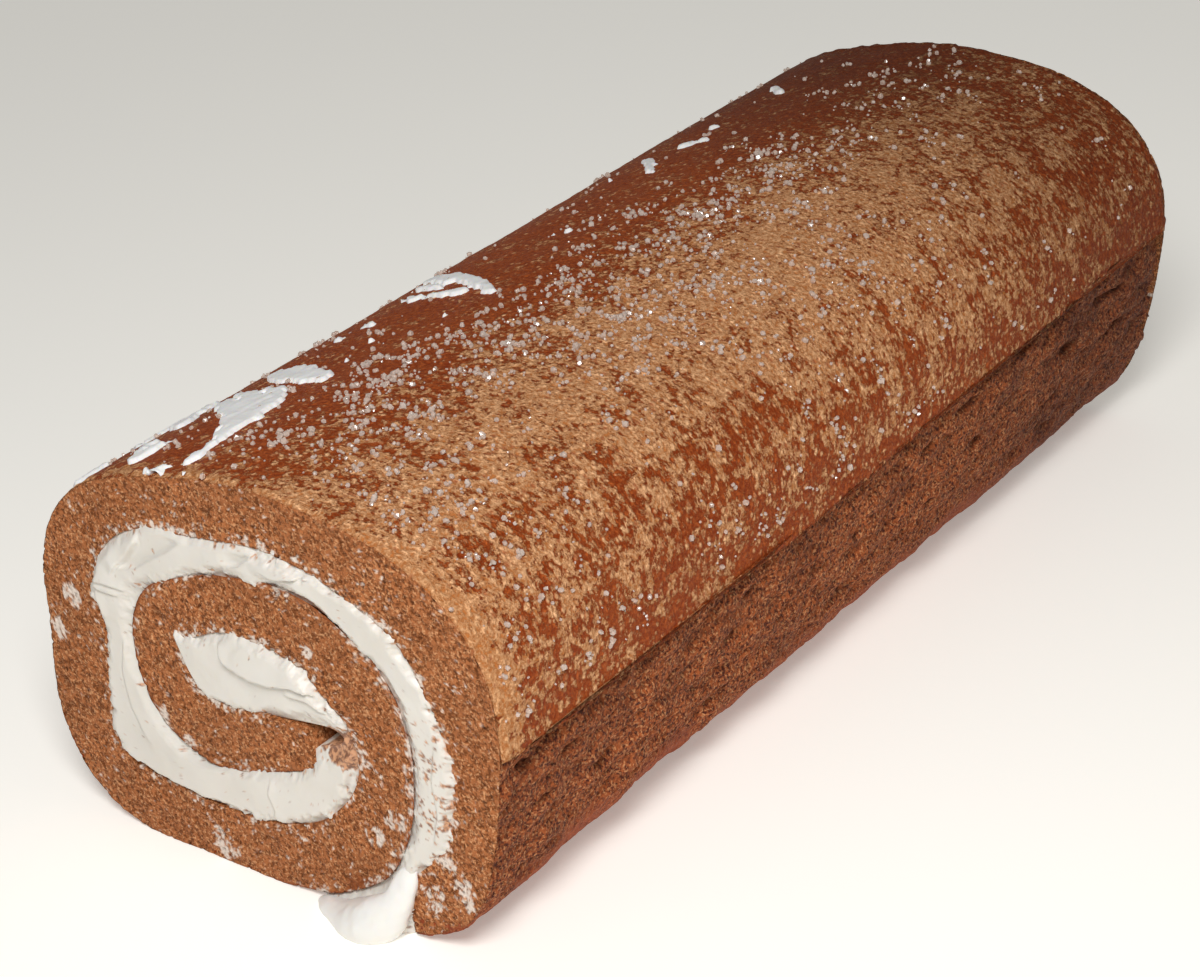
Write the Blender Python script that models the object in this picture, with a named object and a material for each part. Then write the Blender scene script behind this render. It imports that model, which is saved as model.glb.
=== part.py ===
"""Swiss roll: one spread sheet of sponge rolled up with its cream filling.

Two solids, both running the whole length of the roll:
  sponge_roll    the rolled sheet, blunt outer end tucked under at the right
  cream_filling  everything between the turns, the seam and the cream squeezed
                 out of the seam onto the table in front of the cut face

Metres, +Z up, length along Y, cut face towards -Y, base flat on z = 0.
"""
import bpy
import bmesh
import numpy as np

MM = 0.001

# ---- the roll ------------------------------------------------------------
ROLL_LENGTH = 196.9 * MM
CUT_FACE_Y = -95.0 * MM        # the near cut face of the sponge
FIT_GAP = 0.3 * MM             # clear space between sponge and cream
CREAM_PROUD = 0.6 * MM         # how far the cream stands out of both ends

# ---- the rolled sheet, followed along its middle from the outer end --------
SHEET_START = (24.87 * MM, 6.2 * MM)    # x, z of the middle of the outer end
SHEET_HEADING = 4.8                     # degrees, way the sheet leaves its end
# one pair for each bend of the sheet: degrees turned, radius in mm
SHEET_BENDS = (
    (57.1, 13.9), (39.0, 48.9), (55.4, 17.9), (35.5, 75.9), (40.4, 25.9),
    (38.7, 49.6), (55.1, 19.1), (31.1, 16.6), (14.8, 113.5), (50.6, 24.6),
    (50.5, 22.4), (43.0, 14.8), (55.1, 31.9), (56.2, 12.3), (47.8, 8.6),
    (56.0, 16.2), (3.0, 270.0),
)
BEND_STEP = 6.0                         # degrees between outline points
LONGEST_STEP = 4.0 * MM                 # longest outline edge
# share of the sheet's run, and its thickness in mm there
SHEET_THICKNESS = (
    (0.00, 9.6), (0.05, 10.0), (0.12, 11.7), (0.20, 12.0), (0.28, 9.9),
    (0.35, 9.2), (0.42, 12.6), (0.50, 12.7), (0.57, 11.1), (0.64, 12.0),
    (0.71, 11.5), (0.78, 13.0), (0.85, 9.8), (0.92, 13.0), (1.00, 9.0),
)
TIP_ROUNDING = 0.55                     # share of half the tip's thickness
TUCKED_END_SLANT = 2.0 * MM             # the cut outer end leans this far

# ---- cream pushed out of the seam -----------------------------------------
SEAM_LEAST = 0.8 * MM                   # thinnest edge of the cream at the table
BLOB_CENTRE = (16.0 * MM, 0.6 * MM)     # x, z of the pushed-out dollop
BLOB_RADII = (9.2 * MM, 7.5 * MM, 6.6 * MM)
BLOB_SEGMENTS = 40
BLOB_RINGS = 20

SPONGE = ("sponge", (0.27, 0.118, 0.048, 1.0), 0.9)
CREAM = ("cream", (0.80, 0.78, 0.72, 1.0), 0.45)


def clear_scene():
    """Start from an empty scene."""
    for thing in list(bpy.data.objects):
        bpy.data.objects.remove(thing, do_unlink=True)


def make_material(name, colour, roughness):
    """Return a plain Principled material."""
    material = bpy.data.materials.new(name)
    material.use_nodes = True
    shader = material.node_tree.nodes["Principled BSDF"]
    shader.inputs["Base Color"].default_value = colour
    shader.inputs["Roughness"].default_value = roughness
    shader.inputs["Metallic"].default_value = 0.0
    return material


def sheet_middle():
    """Follow the bends: points along the sheet's middle and their headings."""
    x, z = SHEET_START
    heading = np.radians(SHEET_HEADING)
    points = [(x, z)]
    headings = [heading]
    for turn, radius in SHEET_BENDS:
        sweep = np.radians(turn)
        radius = radius * MM
        by_angle = turn / BEND_STEP
        by_length = sweep * radius / LONGEST_STEP
        steps = max(2, int(np.ceil(max(by_angle, by_length))))
        centre_x = x - radius * np.sin(heading)
        centre_z = z + radius * np.cos(heading)
        for step in range(1, steps + 1):
            angle = heading + sweep * step / steps
            points.append((centre_x + radius * np.sin(angle), centre_z - radius * np.cos(angle)))
            headings.append(angle)
        x, z = points[-1]
        heading = heading + sweep
    return np.array(points), np.array(headings)


def sheet_sides(clearance):
    """Return the outer and inner side of the sheet, grown by the clearance."""
    middle, headings = sheet_middle()
    edges = np.linalg.norm(np.diff(middle, axis=0), axis=1)
    run = np.concatenate([[0.0], np.cumsum(edges)])
    run = run / run[-1]
    shares, thicknesses = np.array(SHEET_THICKNESS).T
    half = 0.5 * np.interp(run, shares, thicknesses) * MM + clearance
    inward = np.stack([-np.sin(headings), np.cos(headings)], axis=1)
    outer = middle - inward * half[:, None]
    inner = middle + inward * half[:, None]
    return outer, inner, headings


def tip_cap(outer_tip, inner_tip, heading, reach):
    """Rounded end of the sheet, from its outer side round to its inner side."""
    middle = 0.5 * (outer_tip + inner_tip)
    half = 0.5 * (inner_tip - outer_tip)
    forward = np.array([np.cos(heading), np.sin(heading)]) * reach
    angles = np.linspace(0.0, np.pi, 9)[1:-1]
    return np.array([middle - half * np.cos(a) + forward * np.sin(a) for a in angles])


def drop_crossings(path):
    """Cut out the small loops an offset side makes where the bend is tight."""
    keep = list(range(len(path)))
    start = 0
    while start < len(keep) - 3:
        a, b = path[keep[start]], path[keep[start + 1]]
        last = min(len(keep) - 1, start + 30)
        for other in range(last - 1, start + 1, -1):
            c, d = path[keep[other]], path[keep[other + 1]]
            if segments_cross(a, b, c, d):
                del keep[start + 1:other + 1]
                break
        start += 1
    return path[keep]


def segments_cross(a, b, c, d):
    """True when segment a-b crosses segment c-d."""
    def side(p, q, r):
        return (q[0] - p[0]) * (r[1] - p[1]) - (q[1] - p[1]) * (r[0] - p[0])
    return side(a, b, c) * side(a, b, d) < 0.0 and side(c, d, a) * side(c, d, b) < 0.0


def flatten_base(outline):
    """Bring everything below the table up to it."""
    flat = outline.copy()
    flat[:, 1] = np.maximum(flat[:, 1], 0.0)
    return flat


def sponge_outline():
    """Closed outline of the rolled sheet at the cut face."""
    outer, inner, headings = sheet_sides(0.0)
    reach = 0.5 * SHEET_THICKNESS[-1][1] * MM * TIP_ROUNDING
    cap = tip_cap(outer[-1], inner[-1], headings[-1], reach)
    outer[0, 0] = outer[0, 0] + TUCKED_END_SLANT
    return flatten_base(np.vstack([outer, cap, drop_crossings(inner[::-1])]))


def cream_outline():
    """Closed outline of the cream: the seam, between the turns, and the core."""
    outer, inner, headings = sheet_sides(FIT_GAP)
    reach = 0.5 * SHEET_THICKNESS[-1][1] * MM * TIP_ROUNDING + FIT_GAP
    cap = tip_cap(outer[-1], inner[-1], headings[-1], reach)
    end_way = np.array([np.cos(headings[0]), np.sin(headings[0])])
    end_top = inner[0] - end_way * FIT_GAP
    end_low = outer[0] + np.array([TUCKED_END_SLANT - FIT_GAP, 0.0])
    end_foot = np.array([end_low[0] - SEAM_LEAST, 0.0])
    inside = drop_crossings(np.vstack([end_foot, end_low, end_top, inner]))
    back = np.vstack([cap[::-1], outer[::-1]])
    low = np.argmax(back[:, 1] < SEAM_LEAST)
    foot = np.array([[back[low - 1, 0], 0.0]])
    return np.vstack([inside, cap[::-1], back[len(cap):low], foot])


def extrude_outline(name, outline, near_y, far_y, collection):
    """Fill the outline as a flat curve, extrude it and stand it along Y."""
    curve = bpy.data.curves.new(name + "_outline", "CURVE")
    curve.dimensions = "2D"
    curve.fill_mode = "BOTH"
    curve.extrude = 0.5 * (far_y - near_y)
    spline = curve.splines.new("POLY")
    spline.points.add(len(outline) - 1)
    for point, (x, z) in zip(spline.points, outline):
        point.co = (x, z, 0.0, 1.0)
    spline.use_cyclic_u = True
    holder = bpy.data.objects.new(name + "_curve", curve)
    collection.objects.link(holder)
    bpy.context.view_layer.update()
    evaluated = holder.evaluated_get(bpy.context.evaluated_depsgraph_get())
    mesh = bpy.data.meshes.new_from_object(evaluated)
    bpy.data.objects.remove(holder, do_unlink=True)
    body = bmesh.new()
    body.from_mesh(mesh)
    for vertex in body.verts:
        x, z, along = vertex.co
        vertex.co = (x, 0.5 * (near_y + far_y) + along, z)
    bmesh.ops.remove_doubles(body, verts=body.verts, dist=0.00001)
    bmesh.ops.recalc_face_normals(body, faces=body.faces)
    body.to_mesh(mesh)
    body.free()
    mesh.name = name
    thing = bpy.data.objects.new(name, mesh)
    collection.objects.link(thing)
    return thing


def cut_flat(body, point, away):
    """Cut off what lies past the plane and close the cut."""
    parts = list(body.verts) + list(body.edges) + list(body.faces)
    bmesh.ops.bisect_plane(
        body, geom=parts, dist=0.000001, plane_co=point, plane_no=away, clear_outer=True
    )
    rim = [edge for edge in body.edges if edge.is_boundary]
    bmesh.ops.holes_fill(body, edges=rim)


def make_blob(collection):
    """The dollop of cream in front of the cut face, flat on the table."""
    body = bmesh.new()
    bmesh.ops.create_uvsphere(body, u_segments=BLOB_SEGMENTS, v_segments=BLOB_RINGS, radius=1.0)
    for vertex in body.verts:
        x, y, z = vertex.co
        x = BLOB_CENTRE[0] + x * BLOB_RADII[0]
        y = CUT_FACE_Y + y * BLOB_RADII[1]
        z = BLOB_CENTRE[1] + z * BLOB_RADII[2]
        vertex.co = (x, y, z)
    cut_flat(body, (0.0, CUT_FACE_Y - FIT_GAP, 0.0), (0.0, 1.0, 0.0))
    cut_flat(body, (0.0, 0.0, 0.0), (0.0, 0.0, -1.0))
    bmesh.ops.recalc_face_normals(body, faces=body.faces)
    mesh = bpy.data.meshes.new("blob")
    body.to_mesh(mesh)
    body.free()
    blob = bpy.data.objects.new("blob", mesh)
    collection.objects.link(blob)
    blob.hide_render = True
    blob.display_type = "WIRE"
    return blob


def make_cream(collection, cutters, material):
    """The filling, standing a little out of both ends, joined to the dollop."""
    near_y = CUT_FACE_Y - CREAM_PROUD
    far_y = CUT_FACE_Y + ROLL_LENGTH + CREAM_PROUD
    cream = extrude_outline("cream_filling", cream_outline(), near_y, far_y, collection)
    cream.data.materials.clear()
    cream.data.materials.append(material)
    join = cream.modifiers.new("join dollop", "BOOLEAN")
    join.operation = "UNION"
    join.solver = "EXACT"
    join.object = make_blob(cutters)
    return cream


def make_sponge(collection, material):
    """The rolled sheet, plain at both cut ends."""
    near_y = CUT_FACE_Y
    far_y = CUT_FACE_Y + ROLL_LENGTH
    sponge = extrude_outline("sponge_roll", sponge_outline(), near_y, far_y, collection)
    sponge.data.materials.clear()
    sponge.data.materials.append(material)
    return sponge


def main():
    """Build the roll in its own collection, the joining shape in another."""
    clear_scene()
    collection = bpy.data.collections.new("swiss_roll")
    cutters = bpy.data.collections.new("cutters")
    bpy.context.scene.collection.children.link(collection)
    bpy.context.scene.collection.children.link(cutters)
    cutters.hide_render = True
    make_sponge(collection, make_material(*SPONGE))
    make_cream(collection, cutters, make_material(*CREAM))


main()
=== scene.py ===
import bpy
import numpy as np
from mathutils import Matrix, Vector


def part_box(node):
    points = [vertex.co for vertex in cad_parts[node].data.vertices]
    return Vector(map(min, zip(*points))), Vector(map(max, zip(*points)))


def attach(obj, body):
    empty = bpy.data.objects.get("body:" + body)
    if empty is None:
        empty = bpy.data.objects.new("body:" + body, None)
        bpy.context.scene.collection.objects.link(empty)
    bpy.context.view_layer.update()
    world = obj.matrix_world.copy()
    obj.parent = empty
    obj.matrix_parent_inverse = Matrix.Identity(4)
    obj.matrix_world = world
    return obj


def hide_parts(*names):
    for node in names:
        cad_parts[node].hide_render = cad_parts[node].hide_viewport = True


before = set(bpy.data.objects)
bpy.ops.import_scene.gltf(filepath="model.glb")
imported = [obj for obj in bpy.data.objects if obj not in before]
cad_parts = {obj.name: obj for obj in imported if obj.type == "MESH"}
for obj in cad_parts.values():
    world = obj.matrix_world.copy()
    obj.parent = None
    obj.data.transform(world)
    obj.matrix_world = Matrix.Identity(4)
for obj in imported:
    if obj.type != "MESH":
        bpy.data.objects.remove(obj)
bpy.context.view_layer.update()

MM = 0.001
ROLL_LOW, ROLL_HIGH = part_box("sponge_roll")
NEAR_Y = ROLL_LOW[1]
FAR_Y = ROLL_HIGH[1]


# ----------------------------------
# The sheet of cocoa sponge, about 11 mm thick, rolled up from its tip. Its
# two cut ends show the open crumb: a knife's slight waves, and pores of a
# few tenths of a millimetre, some up to a millimetre.
# ----------------------------------
SHEET_START = (24.87 * MM, 6.2 * MM)
SHEET_HEADING = 4.8
SHEET_BENDS = (
    (57.1, 13.9), (39.0, 48.9), (55.4, 17.9), (35.5, 75.9), (40.4, 25.9),
    (38.7, 49.6), (55.1, 19.1), (31.1, 16.6), (14.8, 113.5), (50.6, 24.6),
    (50.5, 22.4), (43.0, 14.8), (55.1, 31.9), (56.2, 12.3), (47.8, 8.6),
    (56.0, 16.2), (3.0, 270.0),
)
# from the sheet's middle to its two sides, in mm, every 6 mm of its run
SIDE_STEP = 6.0 * MM
OUTER_SIDE = (
    5.5, 4.9, 4.5, 4.1, 3.8, 3.8, 4.3, 5.1, 5.8, 6.1, 6.2, 6.3, 6.2, 5.7, 5.2,
    4.9, 4.4, 3.9, 3.4, 3.4, 4.3, 5.7, 6.7, 6.8, 6.0, 4.8, 4.2, 4.5, 5.6, 6.6,
    6.6, 5.6, 5.2, 5.3, 5.6, 5.8, 5.9, 6.0, 5.9, 6.2, 5.7, 5.4, 5.4, 6.2, 6.8,
    6.6, 6.7, 6.1, 5.1, 4.8, 4.8, 5.4, 5.1, 5.1, 6.4, 6.3, 4.7, 3.8, 3.0, 2.4,
)
INNER_SIDE = (
    4.1, 5.3, 5.6, 5.0, 4.6, 4.6, 5.0, 6.3, 7.2, 7.2, 6.7, 6.0, 5.6, 4.9, 4.8,
    4.9, 5.4, 6.0, 6.0, 5.3, 4.6, 3.9, 3.4, 4.0, 6.0, 8.1, 8.7, 8.2, 6.9, 5.4,
    5.6, 6.8, 6.9, 6.3, 5.8, 5.5, 5.5, 5.9, 6.1, 6.3, 5.9, 5.5, 5.3, 5.9, 7.2,
    7.4, 6.0, 5.7, 5.4, 4.8, 4.9, 4.8, 6.0, 6.6, 6.4, 6.6, 6.9, 6.7, 5.6, 4.4,
)
CRUST_THICKNESS = 0.7 * MM


def smooth_table(positions, step, values):
    """Values given at even steps, joined by a smooth curve through them."""
    values = np.asarray(values, float)
    at = np.clip(positions / step, 0.0, len(values) - 1.001)
    first = at.astype(int)
    share = at - first
    last = len(values) - 1
    v0 = values[np.maximum(first - 1, 0)]
    v1 = values[first]
    v2 = values[np.minimum(first + 1, last)]
    v3 = values[np.minimum(first + 2, last)]
    bend = 2.0 * v0 - 5.0 * v1 + 4.0 * v2 - v3
    twist = 3.0 * v1 - v0 - 3.0 * v2 + v3
    return 0.5 * (2.0 * v1 + (v2 - v0) * share + bend * share**2 + twist * share**3)


def smoothstep(low, high, value):
    """0 below low, 1 above high, easing in and out between."""
    share = np.clip((value - low) / (high - low), 0.0, 1.0)
    return share * share * (3.0 - 2.0 * share)


def scatter(cells, seed):
    """A repeatable number from 0 to 1 for each whole-number cell (n, 3)."""
    cells = cells.astype(np.int64)
    mixed = cells[..., 0] * 374761393 + cells[..., 1] * 668265263
    mixed = (mixed + cells[..., 2] * 1440662683 + seed * 971215073) & 0xFFFFFFFF
    mixed = ((mixed ^ (mixed >> 13)) * 1274126177) & 0xFFFFFFFF
    mixed = ((mixed ^ (mixed >> 16)) * 2246822519) & 0xFFFFFFFF
    return (mixed ^ (mixed >> 15)).astype(float) / 4294967296.0


def noise(points, wavelength, seed):
    """Smooth random waves of that length through space, from -1 to 1."""
    at = points / wavelength + 37.3
    cell = np.floor(at).astype(np.int64)
    share = at - cell
    share = share * share * share * (share * (share * 6.0 - 15.0) + 10.0)
    total = np.zeros(points.shape[:-1])
    for corner in range(8):
        step = np.array([corner & 1, (corner >> 1) & 1, corner >> 2])
        weight = np.prod(np.where(step == 1, share, 1.0 - share), axis=-1)
        total += weight * scatter(cell + step, seed)
    return total * 2.0 - 1.0


def rough(points, wavelength, octaves, seed):
    """Waves with ever finer and weaker waves on top, about -1 to 1."""
    total = np.zeros(points.shape[:-1])
    height = 1.0
    for octave in range(octaves):
        total += height * noise(points, wavelength / 2.0**octave, seed + octave)
        height = height * 0.55
    return total / 1.6


def pits(points, cell_size, fullness, seed):
    """Round pits, one in each cell by chance: 1 at a pit's floor, 0 outside."""
    at = points / cell_size
    cell = np.floor(at).astype(np.int64)
    depth = np.zeros(points.shape[:-1])
    for near in range(27):
        offset = np.array([near % 3 - 1, near // 3 % 3 - 1, near // 9 - 1])
        here = cell + offset
        centre = here + np.stack([scatter(here, seed + k) for k in range(3)], axis=-1)
        radius = 0.18 + 0.42 * scatter(here, seed + 3) ** 2
        radius = radius * (scatter(here, seed + 4) < fullness)
        away = np.linalg.norm(at - centre, axis=-1)
        depth = np.maximum(depth, smoothstep(0.0, 0.6, (radius - away) / 0.45))
    return depth


def sheet_at(run):
    """Middle of the sheet and its inward way at each distance of its run."""
    x, z = SHEET_START
    heading = np.radians(SHEET_HEADING)
    middle = np.zeros(run.shape + (2,))
    way = np.zeros(run.shape)
    done = 0.0
    for turn, radius in SHEET_BENDS:
        sweep = np.radians(turn)
        radius = radius * MM
        length = sweep * radius
        here = (run >= done) & (run <= done + length + 0.001 * MM)
        angle = heading + (run[here] - done) / radius
        centre_x = x - radius * np.sin(heading)
        centre_z = z + radius * np.cos(heading)
        middle[here, 0] = centre_x + radius * np.sin(angle)
        middle[here, 1] = centre_z - radius * np.cos(angle)
        way[here] = angle
        heading = heading + sweep
        x = centre_x + radius * np.sin(heading)
        z = centre_z - radius * np.cos(heading)
        done = done + length
    inward = np.stack([-np.sin(way), np.cos(way)], axis=-1)
    return middle, inward


SHEET_RUN = sum(np.radians(turn) * radius * MM for turn, radius in SHEET_BENDS)


def piece_from_rings(name, rings, flip=False):
    """A closed skin through rings (stations, points, 3), a pole at each end."""
    stations, around = rings.shape[:2]
    corner = np.arange(stations * around).reshape(stations, around)
    a = corner[:-1]
    b = corner[1:]
    quads = np.stack([a, np.roll(a, -1, 1), np.roll(b, -1, 1), b], axis=-1).reshape(-1, 4)
    poles = np.stack([rings[0].mean(axis=0), rings[-1].mean(axis=0)])
    first = stations * around
    turn = np.roll(corner[0], -1)
    start = np.stack([corner[0], np.full(around, first), turn], axis=-1)
    turn = np.roll(corner[-1], -1)
    stop = np.stack([corner[-1], turn, np.full(around, first + 1)], axis=-1)
    if flip:
        quads = quads[:, ::-1]
        start = start[:, ::-1]
        stop = stop[:, ::-1]
    mesh = bpy.data.meshes.new(name)
    points = np.vstack([rings.reshape(-1, 3), poles])
    mesh.from_pydata(points, [], quads.tolist() + start.tolist() + stop.tolist())
    mesh.shade_smooth()
    piece = bpy.data.objects.new(name, mesh)
    bpy.context.scene.collection.objects.link(piece)
    return piece


def paint(piece, name, values):
    """Keep one number for each point of the piece for its material to read."""
    mesh = piece.data
    full = np.zeros(len(mesh.vertices))
    full[:len(values.ravel())] = values.ravel()
    layer = mesh.attributes.new(name, "FLOAT", "POINT")
    layer.data.foreach_set("value", full)


def linear(colour):
    """Linear RGBA from an sRGB hex colour."""
    parts = np.array([int(colour[k:k + 2], 16) for k in (1, 3, 5)]) / 255.0
    parts = np.where(parts <= 0.04045, parts / 12.92, ((parts + 0.055) / 1.055) ** 2.4)
    return (parts[0], parts[1], parts[2], 1.0)


def add(tree, kind, inputs=None, **settings):
    """Add a shader node, set it up, and fill its sockets with values or links.

    A node given as a value is read at its first output in use, and a Mix
    node mixes colours.
    """
    made = tree.nodes.new("ShaderNode" + kind)
    if kind == "Mix":
        made.data_type = "RGBA"
    for key, value in settings.items():
        setattr(made, key, value)
    for socket, value in (inputs or {}).items():
        if isinstance(value, bpy.types.Node):
            value = next(output for output in value.outputs if output.enabled)
        if isinstance(value, bpy.types.NodeSocket):
            tree.links.new(value, made.inputs[socket])
        else:
            made.inputs[socket].default_value = value
    return made


def new_material(name):
    """An empty material: its node tree, shader and own coordinates."""
    material = bpy.data.materials.new(name)
    material.use_nodes = True
    tree = material.node_tree
    shader = tree.nodes["Principled BSDF"]
    place = add(tree, "TexCoord").outputs["Object"]
    return material, tree, shader, place


def crumb_relief(points):
    """How far the cut crumb stands out or in, and how deep it lies in its pores, which sets their painted
    shade.
    """
    waves = 0.24 * rough(points, 7.0 * MM, 3, 11)
    grain = 0.17 * rough(points, 0.8 * MM, 2, 21)
    small = pits(points, 0.75 * MM, 0.8, 31)
    large = pits(points, 2.4 * MM, 0.12, 41)
    deep = np.maximum(small * 0.7, large * 0.8)
    return (waves + grain - 0.30 * small - 0.50 * large) * MM, deep


# cream wiped onto the cut crumb by the knife: x, z and reach, mm
WIPES = (
    (-42.0, 33.5, 2.8), (-37.4, 41.0, 2.6), (-13.0, 3.6, 3.8), (19.6, 28.6, 2.8),
    (11.8, 44.9, 1.8), (20.6, 16.4, 2.4), (33.0, 16.5, 3.8), (-8.0, 54.0, 2.6),
    (-21.5, 24.0, 2.2), (-16.8, 20.5, 1.8), (33.0, 21.0, 4.4), (36.4, 12.5, 3.6),
    (30.5, 9.0, 3.2), (24.6, 20.0, 2.4), (-12.0, 40.0, 2.4), (-9.5, 35.5, 2.0),
)


def wiped(points, from_inner, from_outer, run_grid):
    """Share of cream on the crumb: by the filling and where it was wiped."""
    beside = 0.8 * smoothstep(3.4 * MM, 0.0, from_inner)
    second_turn = smoothstep(205.0 * MM, 220.0 * MM, run_grid)
    beside = np.maximum(beside, second_turn * 0.8 * smoothstep(3.0 * MM, 0.0, from_outer))
    beside = beside * (0.55 + 0.45 * noise(points, 9.0 * MM, 13))
    for x, z, reach in WIPES:
        away = np.hypot(points[..., 0] - x * MM, points[..., 2] - z * MM) / (reach * MM)
        away = away + 0.45 * rough(points, 2.6 * MM, 3, 19)
        beside = np.maximum(beside, 0.85 * smoothstep(1.2, 0.3, away))
    speckle = rough(points, 0.8 * MM, 3, 17)
    return smoothstep(0.42, 0.7, 0.8 * beside + 0.9 * speckle)


NEAR_COLUMNS = 48
FAR_COLUMNS = 20
WALL_PLACES = np.array([0.008, 0.5, 0.992])
STATION_STEP = 0.33 * MM
TIP_TAPER = 2.2 * MM
# how far the hidden walls and the cut edges keep inside the sheet's faces
WALL_INSET = 3.0 * MM
EDGE_INSET = 0.2 * MM
# places on the cut, x, z and reach: damp crumb by the tip, browned rim by the seam
DAMP_SPOT = (16.2 * MM, 32.4 * MM, 2.4 * MM)
BROWNED_SPOT = (16.5 * MM, 5.0 * MM, 2.6 * MM)


def round_strip(near_columns, far_columns):
    """Shares across and along a strip for one ring: near cut, wall, far cut, wall."""
    across = np.concatenate([
        np.linspace(0.0, 1.0, near_columns), np.ones(3), np.linspace(1.0, 0.0, far_columns), np.zeros(3),
    ])
    along = np.concatenate([
        np.zeros(near_columns), WALL_PLACES, np.ones(far_columns), WALL_PLACES[::-1],
    ])
    return across, along


run = np.arange(0.0, SHEET_RUN, STATION_STEP)
middle, inward = sheet_at(run)
outer_side = smooth_table(run, SIDE_STEP, OUTER_SIDE) * MM
inner_side = smooth_table(run, SIDE_STEP, INNER_SIDE) * MM
to_tip = np.clip((SHEET_RUN - run) / TIP_TAPER, 0.0, 1.0)
blunt = np.sqrt(to_tip * (2.0 - to_tip))
outer_side = outer_side * (0.6 + 0.4 * blunt)
inner_side = inner_side * (0.6 + 0.4 * blunt)
across, along = round_strip(NEAR_COLUMNS, FAR_COLUMNS)
buried = (along > 0.0) & (along < 1.0)
hidden_inset = np.where(buried & (across == 0.0), WALL_INSET, EDGE_INSET)
reach = -outer_side[:, None] + hidden_inset
reach = reach + (outer_side[:, None] + inner_side[:, None] - hidden_inset) * across
spot = middle[:, None, :] + inward[:, None, :] * reach[..., None]
sheet = np.empty(reach.shape + (3,))
sheet[..., 0] = spot[..., 0]
sheet[..., 1] = NEAR_Y + (FAR_Y - NEAR_Y) * along
sheet[..., 2] = np.maximum(spot[..., 1], 0.1 * MM)
relief, pore_shade_and_stain = crumb_relief(sheet)
at_near = along == 0.0
at_far = along == 1.0
sheet[:, at_near, 1] -= relief[:, at_near]
sheet[:, at_far, 1] += relief[:, at_far]
sponge = piece_from_rings("sponge", sheet)
by_tip = np.hypot(sheet[..., 0] - DAMP_SPOT[0], sheet[..., 2] - DAMP_SPOT[1]) / DAMP_SPOT[2]
damp = smoothstep(1.0, 0.4, by_tip + 0.4 * rough(sheet, 1.2 * MM, 2, 16))
# painted shade: the crumb is darkened by the depth of its pores; the damp stain by the tip is the crumb's
# own colour
paint(sponge, "pore_shade_and_stain", np.maximum(pore_shade_and_stain, damp))
from_outer = reach + outer_side[:, None]
from_inner = inner_side[:, None] - reach
run_grid = run[:, None] + 0.0 * across
paint(sponge, "wiped", wiped(sheet, from_inner, from_outer, run_grid) * np.where(buried, 0.0, 1.0))
skin_line = smoothstep(0.9 * MM, 0.3 * MM, from_outer) * smoothstep(200.0 * MM, 215.0 * MM, run_grid)
by_seam = np.hypot((sheet[..., 0] - BROWNED_SPOT[0]) / 2.2, sheet[..., 2] - BROWNED_SPOT[1])
browned = smoothstep(1.0, 0.5, by_seam / BROWNED_SPOT[2] + 0.5 * rough(sheet, 2.0 * MM, 3, 18))
paint(sponge, "skin", np.maximum(skin_line, np.where(buried, 0.0, browned)))


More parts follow.
